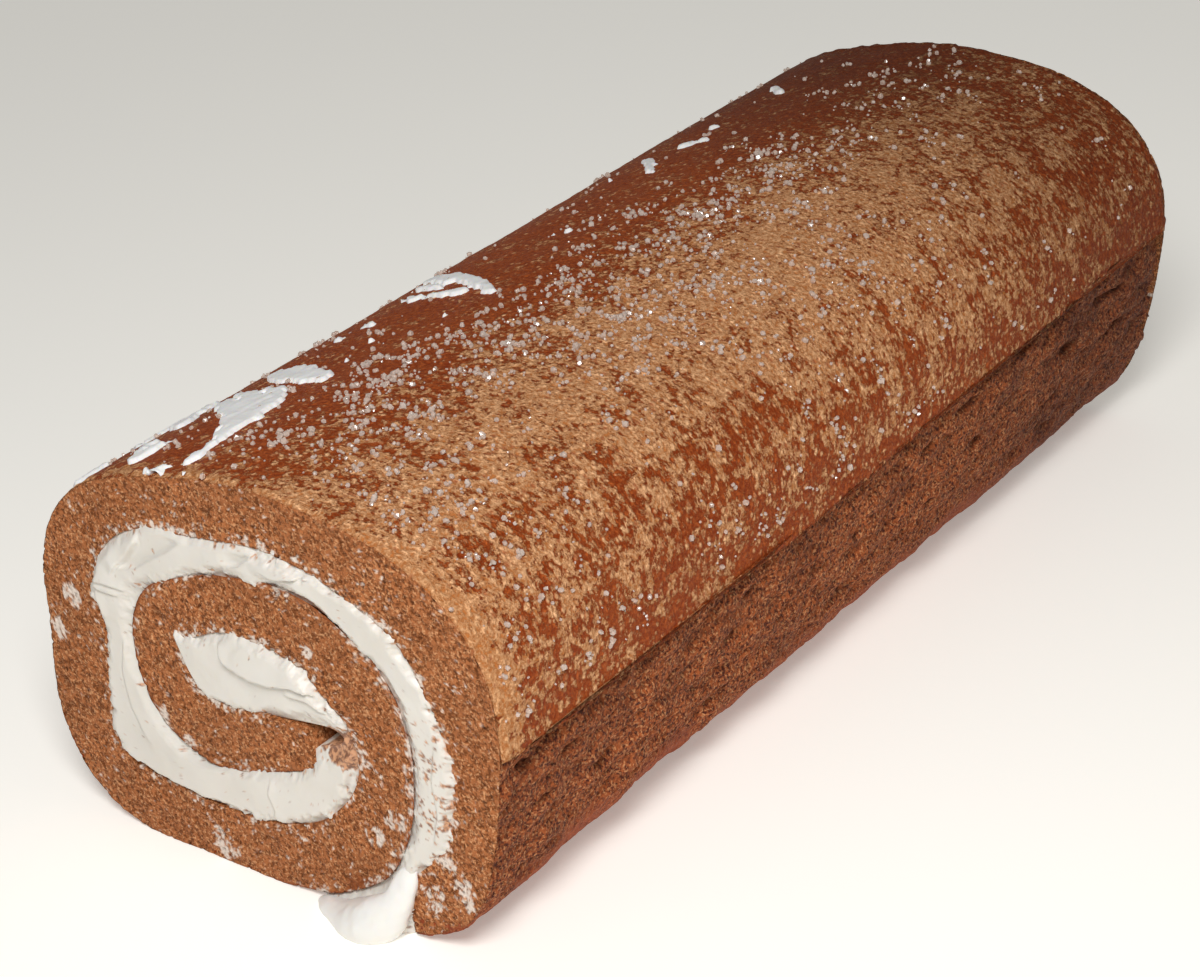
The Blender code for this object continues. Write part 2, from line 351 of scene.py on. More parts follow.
def crumb_material(name, dark, mid, light, skin):
    """Cocoa crumb: grains of three browns, pores darkened with painted shade, wiped-on cream, skin, and
    painted shade towards the far end.
    """
    material, tree, shader, place = new_material(name)
    pore_shade_and_stain_read, wiped_read, skin_read, far_shade_and_patches_read = [
        add(tree, "Attribute", attribute_name=painted).outputs["Fac"]
        for painted in ("pore_shade_and_stain", "wiped", "skin", "far_shade_and_patches")
    ]
    broad = add(tree, "TexNoise", {"Vector": place, "Scale": 130.0, "Detail": 4.0})
    grain = add(tree, "TexNoise", {"Vector": place, "Scale": 1500.0, "Detail": 3.0, "Roughness": 0.7})
    fleck = add(tree, "TexNoise", {"Vector": place, "Scale": 2100.0, "Detail": 2.0, "Roughness": 0.6})
    grain_share = add(tree, "MapRange", {0: grain, 1: 0.40, 2: 0.56})
    body = add(tree, "Mix", {0: grain_share, 6: linear(dark), 7: linear(mid)})
    fleck_share = add(tree, "MapRange", {0: fleck, 1: 0.53, 2: 0.66, 3: 0.0, 4: 0.75})
    flecked = add(tree, "Mix", {0: fleck_share, 6: body, 7: linear(light)})
    broad_share = add(tree, "MapRange", {0: broad, 1: 0.3, 2: 0.7, 3: 0.92, 4: 1.14})
    shaded = add(tree, "Mix", {0: 1.0, 6: flecked, 7: broad_share}, blend_type="MULTIPLY")
    skin_share = add(tree, "Math", {0: skin_read, 1: 0.72}, operation="MULTIPLY")
    skinned = add(tree, "Mix", {0: skin_share, 6: shaded, 7: linear(skin)})
    # painted shade: small holes from these cells and the painted pores are darkened
    cells = add(tree, "TexVoronoi", {"Vector": place, "Scale": 1200.0})
    hole = add(tree, "MapRange", {0: cells.outputs["Distance"], 1: 0.12, 2: 0.40, 3: 1.0, 4: 0.0})
    hole_here = add(tree, "MapRange", {0: broad, 1: 0.42, 2: 0.58, 3: 0.25, 4: 0.9})
    holes = add(tree, "Math", {0: hole, 1: hole_here}, operation="MULTIPLY")
    sunk = add(tree, "Math", {0: holes, 1: pore_shade_and_stain_read}, operation="MAXIMUM")
    pore_shade_and_stain_share = add(tree, "Math", {0: sunk, 1: 0.6}, operation="MULTIPLY")
    cream_share = add(tree, "Math", {0: wiped_read, 1: 0.85}, operation="MULTIPLY")
    creamed = add(tree, "Mix", {0: cream_share, 6: skinned, 7: linear("#EFE2D6")})
    pore_shaded = add(tree, "Mix", {0: pore_shade_and_stain_share, 6: creamed, 7: linear("#4C2610")})
    # painted shade towards the far end, with random dark patches, on the torn flank
    far_shade_and_patches_share = add(tree, "Math", {0: far_shade_and_patches_read, 1: 0.6}, operation="MULTIPLY")
    far_shade_and_patches = add(tree, "Mix", {0: far_shade_and_patches_share, 6: pore_shaded, 7: linear("#36120A")})
    tree.links.new(far_shade_and_patches.outputs[2], shader.inputs["Base Color"])
    shader.inputs["Roughness"].default_value = 0.8
    shader.inputs["Specular IOR Level"].default_value = 0.3
    lumps = add(tree, "Math", {0: grain, 1: fleck}, operation="ADD")
    lumps = add(tree, "Math", {0: lumps, 1: holes}, operation="SUBTRACT")
    bump = add(tree, "Bump", {"Height": lumps, "Strength": 0.8, "Distance": 0.35 * MM})
    tree.links.new(bump.outputs[0], shader.inputs["Normal"])
    return material


sponge.data.materials.append(crumb_material("cocoa_crumb", "#703A10", "#AE693B", "#DBA070", "#924A1E"))
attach(sponge, "root")
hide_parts("sponge_roll")


# ----------------------------------
# Crust: the browned skin of the sheet, peeled off the right flank, where it
# ends in a slightly raised lip that runs the whole length of the roll.
# ----------------------------------
# where the lip lies on the sheet's run, mm, at even steps from near to far
LIP_STEP = 33.0 * MM
LIP_LINE = (38.8, 38.1, 38.4, 39.0, 40.4, 41.1, 41.4)
CRUST_END_RUN = 236.0 * MM
LIP_RAGGED = 1.7 * MM
LIP_CURL = 0.5 * MM
LIP_CURL_REACH = 4.0 * MM


def outer_skin(run_at, along_y):
    """Point and outward way of the roll's true outside, gently uneven."""
    middle, inward = sheet_at(run_at)
    side = smooth_table(run_at, SIDE_STEP, OUTER_SIDE) * MM
    spot = middle - inward * side[..., None]
    shape = np.broadcast_shapes(run_at.shape, along_y.shape)
    point = np.zeros(shape + (3,))
    point[..., 0] = spot[..., 0]
    point[..., 1] = along_y
    point[..., 2] = spot[..., 1]
    out = np.zeros(shape + (3,))
    out[..., 0] = -inward[..., 0]
    out[..., 2] = -inward[..., 1]
    swell = 0.35 * MM * noise(point, 38.0 * MM, 51) + 0.15 * MM * noise(point, 14.0 * MM, 52)
    swell = swell * smoothstep(0.0, 12.0 * MM, point[..., 1] - NEAR_Y)
    point = point + out * swell[..., None]
    point[..., 2] = np.maximum(point[..., 2], 0.0)
    return point, out


def crust_relief(points, from_lip):
    """Pebbled skin with shallow wrinkles running round the roll."""
    pebbles = 0.10 * rough(points, 2.2 * MM, 4, 61)
    squeezed = points * np.array([1.0, 4.0, 1.0])
    wrinkles = 0.10 * rough(squeezed, 9.0 * MM, 3, 71)
    near_lip = smoothstep(30.0 * MM, 0.0, from_lip)
    return (pebbles + wrinkles * (0.3 + near_lip)) * MM


def lip_at(along_y):
    """Run of the sheet at which the skin ends, at each distance along."""
    line = np.zeros(along_y.shape + (3,))
    line[..., 1] = along_y
    ragged = LIP_RAGGED * rough(line, 11.0 * MM, 5, 81)
    return smooth_table(along_y - NEAR_Y, LIP_STEP, LIP_LINE) * MM + ragged


def crust_top(run_at, along_y):
    """Point on the skin's face and the outward way there."""
    point, out = outer_skin(run_at, along_y)
    from_lip = np.maximum(run_at - lip_at(along_y), 0.0)
    curl = LIP_CURL * smoothstep(LIP_CURL_REACH, 0.0, from_lip)
    point = point + out * (crust_relief(point, from_lip) + curl)[..., None]
    point[..., 2] = np.maximum(point[..., 2], 0.0)
    return point, out


# share of the skin under the tan bloom: a row for each run, mm, then its
# values at even steps from the near cut to the far one
BLOOM_RUNS = (40.0, 50.0, 60.0, 75.0, 87.0, 97.0, 115.0, 150.0)
BLOOM_STEP = 33.0 * MM
BLOOM_SHARE = (
    (0.42, 0.32, 0.28, 0.32, 0.36, 0.32, 0.24),
    (0.55, 0.46, 0.40, 0.46, 0.50, 0.42, 0.26),
    (0.60, 0.64, 0.66, 0.76, 0.68, 0.52, 0.28),
    (0.66, 0.74, 0.78, 0.90, 0.80, 0.60, 0.34),
    (0.52, 0.38, 0.56, 0.56, 0.54, 0.44, 0.24),
    (0.28, 0.08, 0.10, 0.14, 0.18, 0.12, 0.08),
    (0.12, 0.08, 0.08, 0.10, 0.14, 0.10, 0.08),
    (0.30, 0.22, 0.28, 0.20, 0.26, 0.18, 0.22),
)


def bloom_at(run_at, along_y):
    """Share of bloom read off the table, straight between its values."""
    table = np.array(BLOOM_SHARE)
    columns = np.clip((along_y - NEAR_Y) / BLOOM_STEP, 0.0, table.shape[1] - 1.001)
    rows = np.interp(run_at / MM, BLOOM_RUNS, np.arange(table.shape[0]))
    rows = np.clip(rows, 0.0, table.shape[0] - 1.001)
    row, column = rows.astype(int), columns.astype(int)
    down, over = rows - row, columns - column
    upper = table[row, column] * (1.0 - over) + table[row, column + 1] * over
    lower = table[row + 1, column] * (1.0 - over) + table[row + 1, column + 1] * over
    return upper * (1.0 - down) + lower * down


def skin_grid(run_line, columns, edge, under_edge):
    """Run and length of a skin's points, and which of them are on its face."""
    top_y = np.linspace(NEAR_Y + edge, FAR_Y - edge, columns)
    under_y = np.linspace(FAR_Y - under_edge, NEAR_Y + under_edge, UNDER_COLUMNS)
    ring_y = np.concatenate([top_y, under_y])
    run_grid, y_grid = np.meshgrid(run_line, ring_y, indexing="ij")
    return run_grid, y_grid, np.arange(len(ring_y))[:, None] < columns


# the skin is meshed finely over the seen part and coarsely round the back
FINE_END_RUN = 165.0 * MM
FINE_STEP = 0.6 * MM
COARSE_STEP = 1.2 * MM
CRUST_COLUMNS = 330
UNDER_COLUMNS = 5
least_lip = min(LIP_LINE) * MM - LIP_RAGGED
fine = np.arange(least_lip, FINE_END_RUN, FINE_STEP)
coarse = np.arange(FINE_END_RUN, CRUST_END_RUN, COARSE_STEP)
crust_run = np.concatenate([fine, coarse])
run_grid, y_grid, is_top = skin_grid(crust_run, CRUST_COLUMNS, 0.1 * MM, 0.3 * MM)
pulled = smoothstep(12.0 * MM, 0.0, run_grid - least_lip)
run_grid = run_grid + (lip_at(y_grid) - least_lip) * pulled
top, out = crust_top(run_grid, y_grid)
rounded = 0.35 * MM * smoothstep(1.2 * MM, 0.0, np.minimum(y_grid - NEAR_Y, FAR_Y - y_grid))
top = top - out * rounded[..., None]
base, out = outer_skin(run_grid, y_grid)
lifted = 0.3 * MM * smoothstep(4.0 * MM, 0.0, run_grid - lip_at(y_grid))
under = base - out * (CRUST_THICKNESS - lifted)[..., None]
crumbly = smoothstep(5.0 * MM, 0.5 * MM, np.minimum(y_grid - NEAR_Y, FAR_Y - y_grid))
top = top + out * (0.35 * MM * crumbly * rough(base, 1.7 * MM, 3, 89))[..., None]
crust_rings = np.where(is_top, top, under)
crust_rings[..., 2] = np.maximum(crust_rings[..., 2], 0.0)
crust = piece_from_rings("crust", crust_rings)
ridge_points = np.stack([run_grid, y_grid, 0.0 * y_grid], axis=-1)
rim = y_grid - NEAR_Y + 3.5 * MM * rough(ridge_points, 7.0 * MM, 3, 85)
worn_wide = smoothstep(9.0 * MM, 1.0 * MM, rim) * smoothstep(122.0 * MM, 96.0 * MM, run_grid)
worn_edge = smoothstep(3.2 * MM, 1.2 * MM, rim) * smoothstep(175.0 * MM, 150.0 * MM, run_grid)
worn = np.maximum(0.28 * worn_wide, worn_edge)
paint(crust, "worn", worn)
shaky_run = run_grid + 5.0 * MM * rough(ridge_points, 12.0 * MM, 3, 87)
paint(crust, "bloomed", bloom_at(shaky_run, y_grid))
drawn_out = 1.1 * run_grid
paint(crust, "round", drawn_out)
# painted shade: the crust is darkened towards the far end, more over the crown, fading out round the back
to_far_end = smoothstep(15.0 * MM, 95.0 * MM, y_grid)
to_crown = smoothstep(72.0 * MM, 95.0 * MM, run_grid)
far_shade_and_patches = to_far_end * (0.62 + 0.38 * to_crown)
paint(crust, "far_shade_and_patches", far_shade_and_patches * smoothstep(200.0 * MM, 130.0 * MM, run_grid))


def crust_material():
    """Rust-brown skin from the oven under a flaking, powdery tan bloom, with painted highlights on its
    beads and painted shade towards the far end.
    """
    material, tree, shader, place = new_material("baked_crust")
    round_read, bloomed_read, worn_read, far_shade_and_patches_read = [
        add(tree, "Attribute", attribute_name=painted).outputs["Fac"]
        for painted in ("round", "bloomed", "worn", "far_shade_and_patches")
    ]
    split = add(tree, "SeparateXYZ", {0: place})
    laid_flat = add(tree, "CombineXYZ", {0: round_read, 1: split.outputs["Y"]})
    bloom = add(tree, "TexNoise", {"Vector": laid_flat, "Scale": 640.0, "Detail": 5.0, "Roughness": 0.74})
    patch = add(tree, "TexNoise", {"Vector": laid_flat, "Scale": 170.0, "Detail": 3.0})
    amount = add(tree, "MapRange", {0: bloomed_read, 1: 0.0, 2: 1.0, 3: -0.14, 4: 0.14})
    shift = add(tree, "MapRange", {0: patch, 1: 0.3, 2: 0.7, 3: -0.09, 4: 0.09})
    rim = add(tree, "Math", {0: worn_read, 1: 0.14}, operation="MULTIPLY")
    total = bloom
    for term in (amount, shift, rim):
        total = add(tree, "Math", {0: total, 1: term}, operation="ADD")
    share = add(tree, "MapRange", {0: total, 1: 0.475, 2: 0.52})
    beads = add(tree, "TexVoronoi", {"Vector": laid_flat, "Scale": 980.0})
    bead = add(tree, "MapRange", {0: beads.outputs["Distance"], 1: 0.2, 2: 0.5, 3: 1.0, 4: 0.0})
    chosen = add(tree, "SeparateColor", {0: beads.outputs["Color"]})
    few = add(tree, "MapRange", {0: bloomed_read, 1: 0.0, 2: 0.6, 3: 0.03, 4: 0.42})
    loose = add(tree, "Math", {0: chosen.outputs[0], 1: few}, operation="LESS_THAN")
    loose = add(tree, "Math", {0: loose, 1: bead}, operation="MULTIPLY")
    share = add(tree, "Math", {0: share, 1: loose}, operation="MAXIMUM")
    bare = add(tree, "Math", {0: chosen.outputs[1], 1: 0.2}, operation="LESS_THAN")
    bare = add(tree, "Math", {0: bare, 1: bead}, operation="MULTIPLY")
    bare = add(tree, "Math", {0: bare, 1: 0.75}, operation="MULTIPLY")
    covered = add(tree, "Math", {0: 1.0, 1: bare}, operation="SUBTRACT")
    share = add(tree, "Math", {0: share, 1: covered}, operation="MULTIPLY")
    tone = add(tree, "TexNoise", {"Vector": place, "Scale": 1500.0, "Detail": 4.0, "Roughness": 0.75})
    tone_and_bead_highlight = add(tree, "MapRange", {0: tone, 1: 0.40, 2: 0.60, 3: 0.0, 4: 0.75})
    # painted highlight: each bead is lightened towards its centre
    bead_highlight = add(tree, "Math", {0: bead, 1: 0.35}, operation="MULTIPLY")
    tone_and_bead_highlight = add(tree, "Math", {0: tone_and_bead_highlight, 1: bead_highlight}, operation="ADD")
    cloud = add(tree, "TexNoise", {"Vector": place, "Scale": 60.0, "Detail": 2.0})
    deep = add(tree, "Mix", {0: cloud, 6: linear("#7C2605"), 7: linear("#9C3F0C")})
    rust = add(tree, "Mix", {0: tone_and_bead_highlight, 6: deep, 7: linear("#C0602A")})
    tan = add(tree, "Mix", {0: tone_and_bead_highlight, 6: linear("#BE743E"), 7: linear("#FFC693")})
    skin = add(tree, "Mix", {0: share, 6: rust, 7: tan})
    worn_tan = add(tree, "Mix", {0: tone_and_bead_highlight, 6: linear("#C2753C"), 7: linear("#F8BE8A")})
    worn_share = add(tree, "Math", {0: worn_read, 1: share}, operation="MULTIPLY")
    edged = add(tree, "Mix", {0: worn_share, 6: skin, 7: worn_tan})
    # painted shade: darker towards the far end and over the crown
    far_shade_and_patches_share = add(tree, "Math", {0: far_shade_and_patches_read, 1: 0.52}, operation="MULTIPLY")
    far_shade_and_patches = add(tree, "Mix", {0: far_shade_and_patches_share, 6: edged, 7: linear("#2E1208")})
    tree.links.new(far_shade_and_patches.outputs[2], shader.inputs["Base Color"])
    gloss = add(tree, "MapRange", {0: share, 1: 0.0, 2: 1.0, 3: 0.55, 4: 0.9})
    tree.links.new(gloss.outputs[0], shader.inputs["Roughness"])
    shader.inputs["Specular IOR Level"].default_value = 0.12
    rise = add(tree, "Math", {0: share, 1: tone_and_bead_highlight}, operation="ADD")
    bump = add(tree, "Bump", {"Height": rise, "Strength": 0.9, "Distance": 0.32 * MM})
    tree.links.new(bump.outputs[0], shader.inputs["Normal"])
    return material


crust.data.materials.append(crust_material())
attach(crust, "root")


# ----------------------------------
# Flank crumb: where the skin came away the torn crumb lies open, rougher
# than the cut, down to the reddish skin left along the bottom edge.
# ----------------------------------
FLANK_COLUMNS = 420
FLANK_STEP = 0.45 * MM
FLANK_END_RUN = 47.0 * MM
# gouges where the crumb tore deeper: run, y, half length, half width, depth, mm
GOUGES = (
    (32.0, 69.0, 5.0, 2.2, 2.2), (23.5, 66.0, 5.5, 1.6, 1.8), (38.5, 52.0, 6.0, 1.0, 1.6),
    (26.0, 38.0, 3.0, 1.4, 1.4), (36.0, 84.0, 7.0, 1.0, 1.5), (28.0, 88.0, 5.0, 1.2, 1.4),
    (37.5, -74.0, 5.0, 0.7, 1.0), (37.6, -50.0, 6.0, 0.6, 1.0), (34.0, -88.0, 3.0, 0.8, 1.2),
    (38.4, -12.0, 7.0, 0.6, 1.1), (38.8, 8.0, 5.0, 0.7, 1.1), (31.0, -77.0, 2.5, 0.8, 1.0),
    (26.5, -84.0, 3.0, 0.7, 1.0), (29.0, -52.0, 2.2, 0.7, 0.9), (24.0, -70.0, 2.6, 0.7, 0.9),
    (33.0, -32.0, 3.0, 0.7, 1.0), (28.0, -12.0, 2.8, 0.8, 0.9), (34.0, 20.0, 3.5, 0.8, 1.2),
    (22.0, 24.0, 3.0, 0.9, 0.9), (37.0, 34.0, 5.0, 0.7, 1.2),
)
flank_run = np.arange(0.2 * MM, FLANK_END_RUN, FLANK_STEP)
run_grid, y_grid, is_top = skin_grid(flank_run, FLANK_COLUMNS, 0.05 * MM, 0.5 * MM)
point, out = outer_skin(run_grid, y_grid)
torn = smoothstep(9.0 * MM, 15.0 * MM, run_grid + 3.5 * MM * rough(point, 22.0 * MM, 3, 91))
relief, pore_shade_and_stain = crumb_relief(point)
long_way = point * np.array([1.0, 0.45, 1.0])
tear = 1.0 * rough(long_way, 2.6 * MM, 4, 95) * MM
under_lip = smoothstep(7.0 * MM, 0.0, lip_at(y_grid) - run_grid)
depth = torn * (relief * 1.5 + tear - (0.6 + 0.7 * under_lip) * MM)
depth = depth + (1.0 - torn) * 0.22 * rough(point, 1.6 * MM, 4, 99) * MM
depth = depth + 0.55 * rough(point, 5.5 * MM, 2, 93) * MM
for gouge_run, gouge_y, half_length, half_width, deep in GOUGES:
    wander = 1.2 * MM * noise(point, 6.0 * MM, 97)
    down = (run_grid + wander - gouge_run * MM) / (half_width * MM)
    sideways = (y_grid - gouge_y * MM) / (half_length * MM)
    pocket = smoothstep(1.0, 0.2, np.hypot(down, sideways) + 0.4 * rough(point, 1.5 * MM, 2, 98))
    depth = depth - pocket * deep * MM
    # painted shade: the gouges are darkened as well as sunk
    pore_shade_and_stain = np.maximum(pore_shade_and_stain, pocket)
top = point + out * depth[..., None]
under = point - out * 3.4 * MM
flank_rings = np.where(is_top, top, under)
flank_rings[..., 2] = np.maximum(flank_rings[..., 2], 0.05 * MM)
flank = piece_from_rings("flank_crumb", flank_rings)
# painted shade: the torn crumb is darkened in its pores and hollows
hollow = smoothstep(0.0, -1.0 * MM, tear + relief)
paint(flank, "pore_shade_and_stain", np.clip(pore_shade_and_stain * torn + 0.5 * torn * hollow, 0.0, 1.0))
paint(flank, "skin", 1.0 - torn)
# painted shade: the torn flank is darkened towards the far end; the random dark patches added to it are the
# crumb's own tone
shade = 0.75 * smoothstep(0.0, 95.0 * MM, y_grid)
shade = shade + 0.4 * smoothstep(-0.1, 0.6, rough(point, 7.0 * MM, 3, 92))
paint(flank, "far_shade_and_patches", np.clip(shade, 0.0, 1.0))
flank.data.materials.append(crumb_material("torn_crumb", "#4A1809", "#A65629", "#DC9B68", "#9C4520"))
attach(flank, "root")


# ----------------------------------
# Cream: white whipped filling in one winding strip, from the seam at the
# bottom right, round between the turns, pinched behind the sheet's tip, to
# the middle. It stands a little proud of the cut and laps onto the crumb.
# ----------------------------------
# edge next to the inner turn (x, z), edge next to the outer turn (x, z), mm
CREAM_SECTIONS = (
    (7.9, 0.8, 23.7, -0.4), (12.5, 2.9, 24.6, 2.5), (17.9, 5.7, 25.2, 5.8), (21.2, 7.9, 25.7, 8.3),
    (23.1, 10.4, 26, 11), (24.4, 13.5, 27.9, 12.9), (26.4, 17.1, 31.2, 16.2), (28.2, 21.2, 34, 20.4),
    (29.2, 25.8, 35.6, 25), (29.6, 30, 36.7, 30), (29.6, 34.2, 37.3, 33.3), (29.6, 37.9, 36.2, 37.1),
    (28.6, 42.1, 34.6, 41.7), (26.2, 45.8, 33.2, 46.2), (23.3, 48.8, 30.6, 50.7),
    (20.4, 50.8, 28.3, 53.2), (17.5, 53.2, 23.7, 55.2), (14.2, 54, 18.3, 57.9), (10.4, 55, 12.9, 59.2),
    (5.8, 55, 7.1, 60), (2.1, 53.6, 1.2, 60), (-2.9, 54.2, -4.2, 59.2), (-7.5, 53.2, -9.6, 58),
    (-12.5, 51.2, -15.4, 58.8), (-16.3, 48.5, -20.4, 57.1), (-20.4, 47.5, -25.4, 54.3),
    (-23.1, 45.8, -29.2, 50.8), (-24.2, 42.9, -31.7, 46.7), (-24.8, 40, -33.3, 42.9),
    (-25.3, 37.5, -30.8, 39.2), (-25.2, 34.2, -30.8, 35), (-25, 30, -31.9, 30), (-23.3, 25, -32.9, 25),
    (-20.8, 20.8, -33.8, 20), (-17.1, 18.1, -33.8, 14.2), (-12.9, 17.8, -28.3, 12.9),
    (-9.6, 18.3, -21.3, 11.2), (-6.3, 19, -13.8, 10.4), (-2.9, 19.8, -7.9, 10.8), (0.4, 20.8, -2.9, 11.2),
    (3.7, 21.8, 2.1, 12.1), (7.1, 22.9, 7.9, 14.2), (9.2, 25.2, 12.1, 17.5), (11.2, 27.5, 15.8, 21.7),
    (13.3, 28.3, 17.1, 25), (15, 28.5, 16.8, 27.1), (17.1, 29.8, 17.7, 29.6), (17.6, 31.7, 18.3, 31.7),
    (16.8, 32.9, 17.5, 33.3), (14.6, 34, 15.4, 35.8), (11.7, 33.5, 13.3, 37.9), (8.7, 33.2, 11.2, 40.8),
    (4.6, 32.5, 7.9, 42.7), (1.2, 32.1, 3.7, 43.3), (-1.7, 30.4, 0.4, 43.8), (-5.4, 30, -3.8, 44.8),
    (-8.3, 30.2, -6.3, 42.9), (-10.4, 30.4, -10.4, 41), (-12.9, 31.7, -13.8, 41), (-13.6, 35, -15.8, 41),
)
CREAM_NEAR_COLUMNS = 38
CREAM_FAR_COLUMNS = 16
CREAM_LAP = 1.3 * MM
CREAM_STEP = 0.26 * MM
# places on the cut, x and z, and a reach: the pinch, the crumbs caught in
# it, and the fuller inner edge at the upper right
PINCH = (17.9 * MM, 31.6 * MM)
PINCH_REACH = 2.4 * MM
CAUGHT_CRUMBS = (16.0 * MM, 30.0 * MM)
CAUGHT_REACH = 6.0 * MM
FULLER_EDGE = (19.2 * MM, 51.8 * MM)
# folds left by spreading and rolling: height and softness, then x, z, mm;
# the side to the left of the line is the raised one
FOLDS = (
    (0.7, 2.4, ((-26.3, 48.2), (-25.4, 49.1), (-22.9, 51.4), (-19.6, 55.0), (-19.5, 57.8))),
    (-0.6, 3.0, ((-25.0, 49.1), (-21.2, 50.3), (-17.7, 52.6), (-13.8, 55.0), (-10.9, 57.0))),
    (0.5, 1.6, ((-32.4, 45.4), (-28.8, 45.7), (-25.8, 45.5), (-23.8, 44.8))),
    (0.5, 1.5, ((-32.1, 44.8), (-29.7, 44.1), (-26.2, 44.0))),
    (0.5, 1.5, ((-32.5, 43.3), (-30.7, 41.6), (-30.4, 39.2))),
    (-0.8, 2.5, ((-1.5, 55.6), (0.9, 56.6), (3.2, 58.3), (5.8, 60.5))),
    (0.8, 2.5, ((4.8, 55.0), (8.0, 56.4), (11.7, 57.4), (15.7, 58.4), (18.3, 58.0), (20.4, 56.4))),
    (0.8, 4.0, ((-6.1, 42.3), (-5.9, 39.6), (-4.9, 38.3), (-2.1, 37.7), (0.2, 37.2), (3.9, 37.5),
                (8.6, 38.7), (11.4, 38.5), (13.9, 37.3))),
    (0.5, 1.6, ((6.6, 36.7), (11.0, 36.9), (14.7, 35.4), (17.3, 34.5))),
    (0.4, 2.0, ((0.2, 19.5), (-0.6, 17.0), (0.4, 14.5), (-0.2, 12.6))),
    (0.35, 2.5, ((-27.0, 36.0), (-28.6, 30.0), (-28.0, 24.0), (-25.0, 18.0))),
    (0.4, 2.0, ((34.6, 36.0), (33.6, 31.0), (33.8, 25.0), (32.0, 19.5))),
)


def fold(points, height, softness, corners):
    """A crease along the line: a step up on its left that dies away softly."""
    best = np.full(points.shape[:-1], 1.0)
    rise = np.zeros(points.shape[:-1])
    last = len(corners) - 2
    for number, (start, stop) in enumerate(zip(corners[:-1], corners[1:])):
        way = stop - start
        length = np.linalg.norm(way)
        way = way / length
        dx = points[..., 0] - start[0]
        dz = points[..., 2] - start[1]
        on_line = dx * way[0] + dz * way[1]
        held = np.clip(on_line, 0.0, length)
        away = np.hypot(dx - held * way[0], dz - held * way[1])
        left = away * np.sign(way[0] * dz - way[1] * dx)
        ends = 1.0
        if number == 0:
            ends = smoothstep(-0.5 * softness, 0.8 * softness, on_line)
        if number == last:
            ends = ends * smoothstep(-0.5 * softness, 0.8 * softness, length - on_line)
        step = smoothstep(-0.25 * MM, 0.25 * MM, left) * np.exp(-np.abs(left) / softness)
        groove = 0.35 * np.exp(-(left / (0.3 * MM)) ** 2)
        closer = away < best
        best = np.where(closer, away, best)
        rise = np.where(closer, ends * (step - groove), rise)
    return height * rise


sections = np.array(CREAM_SECTIONS) * MM
centres = 0.5 * (sections[:, :2] + sections[:, 2:])
stretch = np.concatenate([[0.0], np.cumsum(np.linalg.norm(np.diff(centres, axis=0), axis=1))])
even = np.linspace(0.0, stretch[-1], 160)
table = np.stack([np.interp(even, stretch, sections[:, k]) for k in range(4)], axis=-1)
for smoothing in range(2):
    table[1:-1] = 0.25 * table[:-2] + 0.5 * table[1:-1] + 0.25 * table[2:]
cream_run = np.arange(0.0, stretch[-1], CREAM_STEP)
edges = np.stack([smooth_table(cream_run, even[1], table[:, k]) for k in range(4)], axis=-1)
inner_edge = edges[:, :2]
outer_edge = edges[:, 2:]
width = np.linalg.norm(outer_edge - inner_edge, axis=1)
cross_way = (outer_edge - inner_edge) / width[:, None]
share, along = round_strip(CREAM_NEAR_COLUMNS, CREAM_FAR_COLUMNS)
inside = -CREAM_LAP + (width[:, None] + 2.0 * CREAM_LAP) * share
spot = inner_edge[:, None, :] + cross_way[:, None, :] * inside[..., None]
cream_rings = np.empty(inside.shape + (3,))
cream_rings[..., 0] = spot[..., 0]
cream_rings[..., 1] = NEAR_Y + (FAR_Y - NEAR_Y) * along
cream_rings[..., 2] = np.maximum(spot[..., 1], 0.0)
flat = cream_rings.copy()
high_up = smoothstep(42.0 * MM, 50.0 * MM, flat[..., 2])
on_left = smoothstep(8.0 * MM, -2.0 * MM, flat[..., 0])
feather_outer = 1.5 - 1.05 * high_up * on_left
core = smoothstep(245.0 * MM, 255.0 * MM, cream_run)[:, None]
feather_inner = 0.95 + 0.05 * core
shreds = rough(flat, 1.7 * MM, 4, 111) + 0.5 * rough(flat, 5.0 * MM, 1, 113)
from_inner = inside + feather_inner * shreds * MM
from_outer = width[:, None] - inside + feather_outer * shreds * MM
from_fuller = np.hypot(flat[..., 0] - FULLER_EDGE[0], flat[..., 2] - FULLER_EDGE[1])
fuller = smoothstep(7.0 * MM, 3.0 * MM, from_fuller)
from_inner = from_inner + 0.9 * MM * fuller
spread_out = smoothstep(26.0 * MM, 30.0 * MM, flat[..., 0]) * smoothstep(13.0 * MM, 17.0 * MM, flat[..., 2])
spread_out = spread_out * smoothstep(42.0 * MM, 34.0 * MM, flat[..., 2])
from_outer = from_outer + 1.0 * MM * spread_out
to_edge = np.minimum(from_inner * 0.75, from_outer)
swell = (-0.7 + 1.35 * smoothstep(-0.9 * MM, 1.5 * MM, to_edge)) * MM
inner_part = smoothstep(0.3 * MM, 1.8 * MM, to_edge)
swell += 0.32 * MM * rough(flat, 7.0 * MM, 2, 121) * inner_part
swell += 0.06 * MM * rough(flat, 1.6 * MM, 2, 125) * inner_part
for height, softness, corners in FOLDS:
    swell += fold(flat, 1.35 * height * MM, softness * MM, np.array(corners) * MM) * inner_part
pinch = np.hypot(flat[..., 0] - PINCH[0], flat[..., 2] - PINCH[1]) / PINCH_REACH
swell -= 1.1 * MM * smoothstep(1.0, 0.3, pinch)
cream_rings[..., 1] += np.where(along == 0.0, -swell, np.where(along == 1.0, swell, 0.0))
cream = piece_from_rings("cream", cream_rings, flip=True)
past_pinch = np.hypot(flat[..., 0] - CAUGHT_CRUMBS[0], (flat[..., 2] - CAUGHT_CRUMBS[1]) * 1.4)
past_pinch = past_pinch / CAUGHT_REACH
